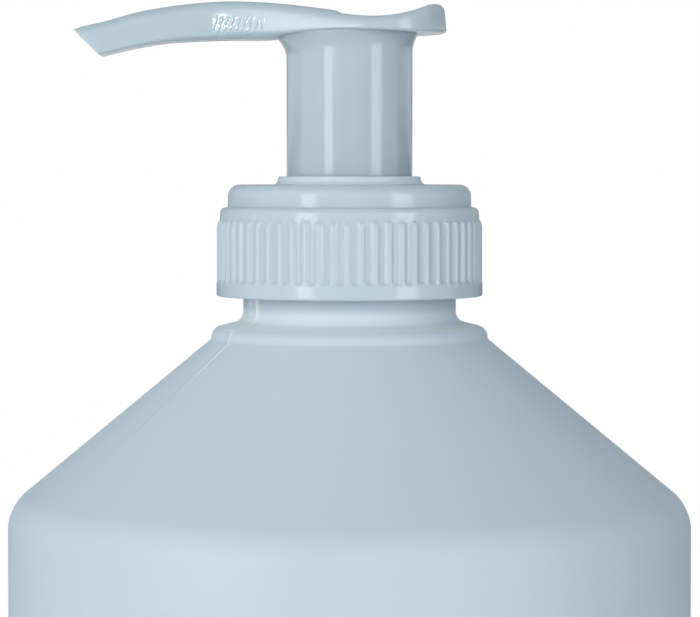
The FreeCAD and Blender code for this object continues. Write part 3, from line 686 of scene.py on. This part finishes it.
def number_of(source):
    """The name of the output with a node's number."""
    return next(o.name for o in source.outputs if o.name in ("Value", "Result", "Fac") and o.enabled)


def combined(material, operation, first, second):
    """Two numbers put together: MULTIPLY gives the share where two masks meet."""
    made = math_node(material, operation)
    for index, source in enumerate((first, second)):
        link(material, source, number_of(source), made, index)
    return made


def scaled(material, source, times, plus=0.0):
    made = math_node(material, "MULTIPLY_ADD", None, times, plus)
    link(material, source, number_of(source), made, 0)
    return made


# %% Masks
def ramp(material, source, output, start, end, low=0.0, high=1.0, smooth=False):
    """Goes from low to high while the source goes from start to end, in mm."""
    made = node(material, "ShaderNodeMapRange", From_Min=start * mm, From_Max=end * mm, To_Min=low, To_Max=high)
    if smooth:
        made.interpolation_type = "SMOOTHSTEP"
    link(material, source, output, made, "Value")
    return made


def fade_band(material, source, output, *edges):
    """1 between the two middle edges and 0 outside the outer two, in mm of the source's value."""
    rise = ramp(material, source, output, edges[0], edges[1], smooth=True)
    fall = ramp(material, source, output, edges[2], edges[3], 1.0, 0.0, smooth=True)
    return combined(material, "MULTIPLY", rise, fall)


def band_mask(material, axis, *edges):
    """A band along one axis of the piece."""
    return fade_band(material, pattern(material, "ShaderNodeSeparateXYZ"), axis, *edges)


def patch_mask(material, x_edges, z_edges):
    """A patch that a band along X and a band along Z share."""
    return combined(material, "MULTIPLY", band_mask(material, "X", *x_edges), band_mask(material, "Z", *z_edges))


# %% Bumps and tints over a finish
def feed_of(socket):
    """The node that feeds a socket so far."""
    return socket.links[0].from_node


def add_bump(material, height, depth):
    """Puts one more bump, depth mm high, in front of the finish's own."""
    shader = shader_of(material)
    bump = node(material, "ShaderNodeBump", Strength=1.0, Distance=depth * mm)
    link(material, height, number_of(height), bump, "Height")
    link(material, feed_of(shader.inputs["Normal"]), "Normal", bump, "Normal")
    link(material, bump, "Normal", shader, "Normal")


def tint_over(material, share, colour):
    """Lays a second colour over the finish's own where the share is high."""
    shader = shader_of(material)
    over = node(material, "ShaderNodeMix")
    over.data_type = "RGBA"
    over.inputs[mix_over].default_value = linear(*colour)
    link(material, feed_of(shader.inputs["Base Color"]), "Result", over, mix_under)
    link(material, share, number_of(share), over, "Factor")
    link(material, over, "Result", shader, "Base Color")


# %% [markdown]
# ## The bottle's neck and parting line
# Above the bead the neck is painted paler: painted light that lifts the shade under the collar. The two halves of
# the blow mould leave a fine line from the neck down the shoulder. It wanders a little, is broken, and is clearest
# near the neck. Near the bead the line is painted paler too, partly as stress whitening and partly as a painted
# highlight on its lit side. Beside it on the neck, the flash was scraped off and left a torn, paler patch. A
# modelled ridge would need a very dense mesh, so the line is a bump: the distance from the mould's parting plane
# raises a narrow band.

# %% The neck painted paler: painted light
painted_light_neck = band_mask(bottle_plastic, "Z", 212.9, 213.4, 213.9, 216.2)
# Painted light: the neck's colour is made paler to lift the shade that falls under the collar.
tint_over(bottle_plastic, painted_light_neck, (227, 241, 245))
print("paler neck,", len(bottle_plastic.node_tree.nodes), "nodes")

# %% Distance from the parting plane
parting_turn = math.radians(31.0)
wander_width = 1.2
across = bottle_plastic.node_tree.nodes.new("ShaderNodeVectorMath")
across.operation = "DOT_PRODUCT"
across.inputs[1].default_value = (math.sin(parting_turn), -math.cos(parting_turn), 0.0)
link(bottle_plastic, node(bottle_plastic, "ShaderNodeTexCoord"), "Object", across, 0)
wander = pattern(bottle_plastic, "ShaderNodeTexNoise", Scale=50.0, Detail=0.0)
drift = scaled(bottle_plastic, wander, wander_width * mm, -wander_width / 2 * mm)
off_plane = math_node(bottle_plastic, "ABSOLUTE")
link(bottle_plastic, combined(bottle_plastic, "ADD", across, drift), "Value", off_plane, 0)
print("parting plane turned by", round(math.degrees(parting_turn)), "degrees")

# %% The line's bump and its paler end, partly a painted highlight
line_height = 0.20
axes = pattern(bottle_plastic, "ShaderNodeSeparateXYZ")
neck_width = ramp(bottle_plastic, axes, "Z", 213.0, 214.6, 1.0, 0.4)
near_plane = combined(bottle_plastic, "MULTIPLY", off_plane, neck_width)
seam = ramp(bottle_plastic, near_plane, "Value", 0.05, 0.32, 1.0, 0.0, smooth=True)
broken = pattern(bottle_plastic, "ShaderNodeTexNoise", Scale=90.0, Detail=2.0)
clearer = ramp(bottle_plastic, axes, "Z", 198.0, 206.0, 0.12, 1.0)
uneven = combined(bottle_plastic, "MULTIPLY", clearer, broken)
seam_height = combined(bottle_plastic, "MULTIPLY", seam, uneven)
add_bump(bottle_plastic, seam_height, line_height)
# Near the bead the line is painted paler: partly stress whitening, partly a painted highlight on the ridge's lit
# side.
whitening_and_highlight_near_bead = ramp(bottle_plastic, axes, "Z", 205.0, 209.0, 0.0, 1.25)
tint_over(bottle_plastic, combined(bottle_plastic, "MULTIPLY", whitening_and_highlight_near_bead, seam_height), (240, 247, 250))
print("parting line", line_height, "mm high,", len(bottle_plastic.node_tree.nodes), "nodes")

# %% Scraped flash on the neck
tear_size, tear_height = 0.55, 0.20
beside_line = fade_band(bottle_plastic, across, "Value", -3.4, -2.6, -0.3, 0.1)
on_neck = band_mask(bottle_plastic, "Z", 212.9, 213.4, 217.5, 218.0)
scraped = combined(bottle_plastic, "MULTIPLY", beside_line, on_neck)
torn = pattern(bottle_plastic, "ShaderNodeTexNoise", Scale=1.0 / (tear_size * mm), Detail=2.0)
scraped_height = combined(bottle_plastic, "MULTIPLY", scraped, torn)
add_bump(bottle_plastic, scraped_height, tear_height)
tint_over(bottle_plastic, scaled(bottle_plastic, scraped_height, 0.7), (232, 242, 246))
print("scraped patch,", len(bottle_plastic.node_tree.nodes), "nodes")

# %% [markdown]
# ## Marks of moulding on the head
# Where the nozzle starts to widen, its wall has shrunk into small slanted ripples, and they break up the
# reflection of a lamp. Slanted waves and level waves are multiplied for this, which gives short ticks. A noise
# would give round dimples. The ripples are polished, and the root of the nozzle next to them is slightly frosted.
# The sleeve shows very fine turning rings.

# %% Ripples on the nozzle
wave_unit = 0.314       # metres from crest to crest in a Wave texture with a scale of 1
ripple_length, row_length, ripple_depth = 0.68, 1.25, 0.046
ripple_place = patch_mask(head_plastic_painted_shade, (-16.9, -15.9, -10.8, -10.2), (249.0, 249.4, 251.0, 251.5))
slanted = pattern(head_plastic_painted_shade, "ShaderNodeMapping", Rotation=(0.0, math.radians(22), 0.0))
slanted.vector_type = "TEXTURE"
ripple = node(head_plastic_painted_shade, "ShaderNodeTexWave", Scale=wave_unit / (ripple_length * mm), Distortion=2.2,
              Detail=1.0, Detail_Scale=0.8)
link(head_plastic_painted_shade, slanted, "Vector", ripple, "Vector")
rows = pattern(head_plastic_painted_shade, "ShaderNodeTexWave", Scale=wave_unit / (row_length * mm), Distortion=2.0,
               Detail=1.0, Detail_Scale=0.8)
rows.bands_direction = "Z"
ticks = combined(head_plastic_painted_shade, "MULTIPLY", ripple, scaled(head_plastic_painted_shade, rows, 0.75, 0.25))
add_bump(head_plastic_painted_shade, combined(head_plastic_painted_shade, "MULTIPLY", ripple_place, ticks), ripple_depth)
print("ripples", ripple_length, "mm apart and", ripple_depth, "mm deep")

# %% Polished ripples and a frosted root
polish, frost = 0.75, 0.11
roughness = shader_of(head_plastic_painted_shade).inputs["Roughness"]
polished = combined(head_plastic_painted_shade, "MULTIPLY", feed_of(roughness), scaled(head_plastic_painted_shade, ripple_place, -polish, 1.0))
frosted = patch_mask(head_plastic_painted_shade, (-11.0, -9.0, 2.0, 5.0), (248.3, 248.8, 254.0, 255.0))
duller = combined(head_plastic_painted_shade, "ADD", polished, scaled(head_plastic_painted_shade, frosted, frost))
link(head_plastic_painted_shade, duller, "Value", shader_of(head_plastic_painted_shade), "Roughness")
print("roughness times", 1 - polish, "on the ripples and plus", frost, "at the root")

# %% Turning rings on the sleeve
ring_length, ring_depth = 1.57, 0.0012
ring_place = band_mask(head_plastic_painted_shade, "Z", 229.0, 229.5, 246.0, 248.0)
rings = pattern(head_plastic_painted_shade, "ShaderNodeTexWave", Scale=wave_unit / (ring_length * mm), Distortion=0.0)
rings.bands_direction = "Z"
add_bump(head_plastic_painted_shade, combined(head_plastic_painted_shade, "MULTIPLY", ring_place, rings), ring_depth)
print("rings", ring_length, "mm apart,", len(head_plastic_painted_shade.node_tree.nodes), "nodes on the head")

# %% [markdown]
# ## Finishes inside the pump
# The cylinder, the rod and the plug are natural polypropylene. The piston is soft polyethylene, the dip tube a
# paler one, the gasket a closed foam, and the spring and ball are steel.

# %% Inner plastics, foam and steel
engine_plastic = uneven_finish("natural_polypropylene", pale=(226, 228, 226), deep=(216, 219, 218),
                               shine=(0.28, 0.36), grain=(0.7, 0.004))
piston_plastic = uneven_finish("soft_polyethylene", pale=(214, 222, 226), deep=(204, 213, 218),
                               shine=(0.40, 0.48), grain=(0.5, 0.004))
tube_plastic = uneven_finish("tube_polyethylene", pale=(222, 226, 228), deep=(210, 215, 218),
                             shine=(0.22, 0.30), grain=(0.9, 0.006))
gasket_foam = uneven_finish("closed_foam", pale=(236, 236, 232), deep=(224, 225, 222),
                            shine=(0.75, 0.9), grain=(0.35, 0.03))
steel = uneven_finish("spring_steel", pale=(178, 178, 176), deep=(160, 160, 160),
                      shine=(0.22, 0.34), grain=(0.15, 0.002))
shader_of(steel).inputs["Metallic"].default_value = 1.0
dress(spring, steel)
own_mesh(spring)
inner_finishes = {"housing": engine_plastic, "stem": engine_plastic, "stem_plug": engine_plastic,
                  "piston": piston_plastic, "dip_tube": tube_plastic, "gasket": gasket_foam, "inlet_ball": steel}
for name, finish in inner_finishes.items():
    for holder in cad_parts[name].material_slots:
        holder.material = finish
print("inner finishes set on", sorted(inner_finishes))

# %% [markdown]
# ## Studio
# The photograph is a cut-out on white, lit by two upright strip softboxes in front. The floor is pale and fades
# out at its rim, so that it shows a shadow from other sides and has no edge. The world is plain white for the
# eye and for reflections, and weaker to the right as a light, because the bottle's right side is darker.

# %% Floor that fades out at its rim
bpy.ops.object.select_all(action="DESELECT")
bpy.ops.mesh.primitive_circle_add(vertices=96, radius=0.9, fill_type="NGON", location=(0, 0, -0.0002))
floor = bpy.context.object
floor.name = "studio_floor"
floor_paint = uneven_finish("floor_paint", pale=(246, 246, 246), deep=(242, 242, 242),
                            shine=(0.85, 0.95), grain=(2.0, 0.0))
dress(floor, floor_paint)
rim_reach = floor_paint.node_tree.nodes.new("ShaderNodeVectorMath")
rim_reach.operation = "LENGTH"
link(floor_paint, node(floor_paint, "ShaderNodeTexCoord"), "Object", rim_reach, 0)
rim_fade = ramp(floor_paint, rim_reach, "Value", 500.0, 890.0, smooth=True)
faded = node(floor_paint, "ShaderNodeMixShader")
link(floor_paint, rim_fade, "Result", faded, 0)
link(floor_paint, shader_of(floor_paint), "BSDF", faded, 1)
link(floor_paint, node(floor_paint, "ShaderNodeBsdfTransparent"), "BSDF", faded, 2)
link(floor_paint, faded, "Shader", floor_paint.node_tree.nodes["Material Output"], "Surface")
print("floor", [round(a, 2) for a in floor.dimensions], "m")

# %% White for the eye and for reflections, a weaker light for the rest
world = bpy.data.worlds.new("studio_world")
bpy.context.scene.world = world
world.use_nodes = True
world.node_tree.nodes.clear()
path = node(world, "ShaderNodeLightPath")
eye_or_gloss = math_node(world, "MAXIMUM")
link(world, path, "Is Camera Ray", eye_or_gloss, 0)
link(world, path, "Is Glossy Ray", eye_or_gloss, 1)
shown = math_node(world, "MAXIMUM")
link(world, eye_or_gloss, "Value", shown, 0)
link(world, path, "Is Transmission Ray", shown, 1)
sky_axes = node(world, "ShaderNodeSeparateXYZ")
link(world, node(world, "ShaderNodeTexCoord"), "Generated", sky_axes, "Vector")
sky_fall = node(world, "ShaderNodeMapRange", From_Min=-1.0, From_Max=1.0, To_Min=0.74, To_Max=0.22)
link(world, sky_axes, "X", sky_fall, "Value")
ambient = node(world, "ShaderNodeBackground", Color=(0.94, 0.97, 1.01, 1.0))
link(world, sky_fall, "Result", ambient, "Strength")
plain_white = node(world, "ShaderNodeBackground", Color=(1.0, 1.0, 1.0, 1.0), Strength=1.0)
either = node(world, "ShaderNodeMixShader")
link(world, shown, "Value", either, 0)
link(world, ambient, "Background", either, 1)
link(world, plain_white, "Background", either, 2)
link(world, either, "Shader", node(world, "ShaderNodeOutputWorld"), "Surface")
print("world", len(world.node_tree.nodes), "nodes")

# %% [markdown]
# ### Lamps
# The two strips give the upright highlights on the sleeve and the collar. The right one is split in two, one lamp
# for the highlight and a bluer one for the light. Fills in front and behind show in no reflection. The head also
# has small lamps of its own: one for the glint on the ripples, one for the light that a table throws up under the
# nozzle, and two for the bright edges of the sleeve. Light linking keeps these off the other pieces.

# %% Softboxes and fills
plain_light = (1.0, 1.0, 1.0)


def softbox(name, azimuth, distance, height, width, tall, power, colour=plain_light, tilt=0.0):
    """The azimuth counts in degrees from the front to the right. Lengths are in metres, power in watts."""
    data = bpy.data.lights.new(name, "AREA")
    data.shape = "RECTANGLE"
    data.size, data.size_y = width, tall
    data.energy = power
    data.color = colour
    lamp = bpy.data.objects.new(name, data)
    bpy.context.scene.collection.objects.link(lamp)
    turn = math.radians(azimuth)
    lamp.location = (math.sin(turn) * distance, -math.cos(turn) * distance, height)
    lamp.rotation_euler = (math.pi / 2 - math.radians(tilt), 0, turn)
    lamp.visible_camera = False
    print(name, "at", [round(a, 2) for a in lamp.location], "m,", power, "W")
    return lamp


softbox("left_softbox", azimuth=-38.8, distance=1.5, height=0.25, width=0.39, tall=1.6, power=7.3,
        colour=(1.0, 1.0, 0.98))
right_box = softbox("right_softbox", azimuth=50.5, distance=1.5, height=0.25, width=0.53, tall=1.6, power=9.0,
                    colour=(0.95, 0.98, 1.0))
right_box.visible_diffuse = False
right_fill = softbox("right_fill", azimuth=50.5, distance=1.5, height=0.25, width=0.53, tall=1.6, power=6.7,
                     colour=(0.83, 0.92, 1.0))
front_fill = softbox("front_fill", azimuth=-8.0, distance=2.2, height=0.95, width=1.0, tall=1.6, power=12.6,
                     tilt=18.0)
back_fill = softbox("back_fill", azimuth=180.0, distance=2.2, height=0.45, width=1.0, tall=0.8, power=12.0)
for fill in (right_fill, front_fill, back_fill):
    fill.visible_glossy = False

# %% Small lamps for the head alone
lit_by_glint = bpy.data.collections.new("lit_by_glint")
lit_by_glint.objects.link(actuator)
glint_strip = softbox("glint_strip", azimuth=-25.8, distance=0.26, height=0.2715, width=0.030, tall=0.043,
                      power=0.128)
table_glow = softbox("table_glow", azimuth=180.0, distance=1.0, height=0.105, width=1.0, tall=0.21, power=0.34,
                     colour=(1.0, 0.99, 0.97))
left_glow = softbox("left_edge_glow", azimuth=-128.0, distance=1.0, height=0.24, width=0.8, tall=0.14, power=0.17)
right_glow = softbox("right_edge_glow", azimuth=128.0, distance=1.0, height=0.24, width=0.8, tall=0.14, power=0.20)
for lamp in (glint_strip, table_glow, left_glow, right_glow):
    lamp.visible_diffuse = False
    lamp.light_linking.receiver_collection = lit_by_glint

# %% [markdown]
# ### Cards
# A white room alone makes the edges of glossy plastic vanish into the background. As in a studio, dark cards
# stand behind and hang above, outside the picture, and only reflections see them.

# %% Dark cards
def dark_card(name, first, last, foot, top, paint):
    """Spans from the first to the last azimuth. Foot and top are (radius, height) in metres."""
    side = (math.sin(math.radians(first)), -math.cos(math.radians(first)))
    card = draw_line(name, [(side[0] * r, side[1] * r, z) for r, z in (foot, top)])
    bpy.ops.mesh.select_all(action="SELECT")
    bpy.ops.mesh.spin(steps=24, angle=math.radians(first - last), center=(0, 0, 0), axis=(0, 0, 1))
    bpy.ops.object.mode_set(mode="OBJECT")
    card.visible_camera = card.visible_diffuse = card.visible_transmission = card.visible_shadow = False
    dress(card, paint)
    turns = [math.degrees(math.atan2(v.co.x, -v.co.y)) % 360 for v in card.data.vertices]
    print(name, "from", round(min(turns)), "to", round(max(turns)), "degrees")


card_paint = uneven_finish("card_paint", pale=(194, 197, 202), deep=(186, 189, 194),
                           shine=(0.9, 0.95), grain=(2.0, 0.0))
low_paint = uneven_finish("low_card_paint", pale=(128, 128, 128), deep=(122, 122, 122),
                          shine=(0.9, 0.95), grain=(2.0, 0.0))
dark_card("card_back", 100.0, 260.0, (1.25, 0.20), (1.25, 1.6), card_paint)
dark_card("card_low", 100.0, 260.0, (1.25, -0.4), (1.25, 0.20), low_paint)
dark_card("card_over", 0.0, 360.0, (1.2, 1.6), (0.02, 1.9), low_paint)
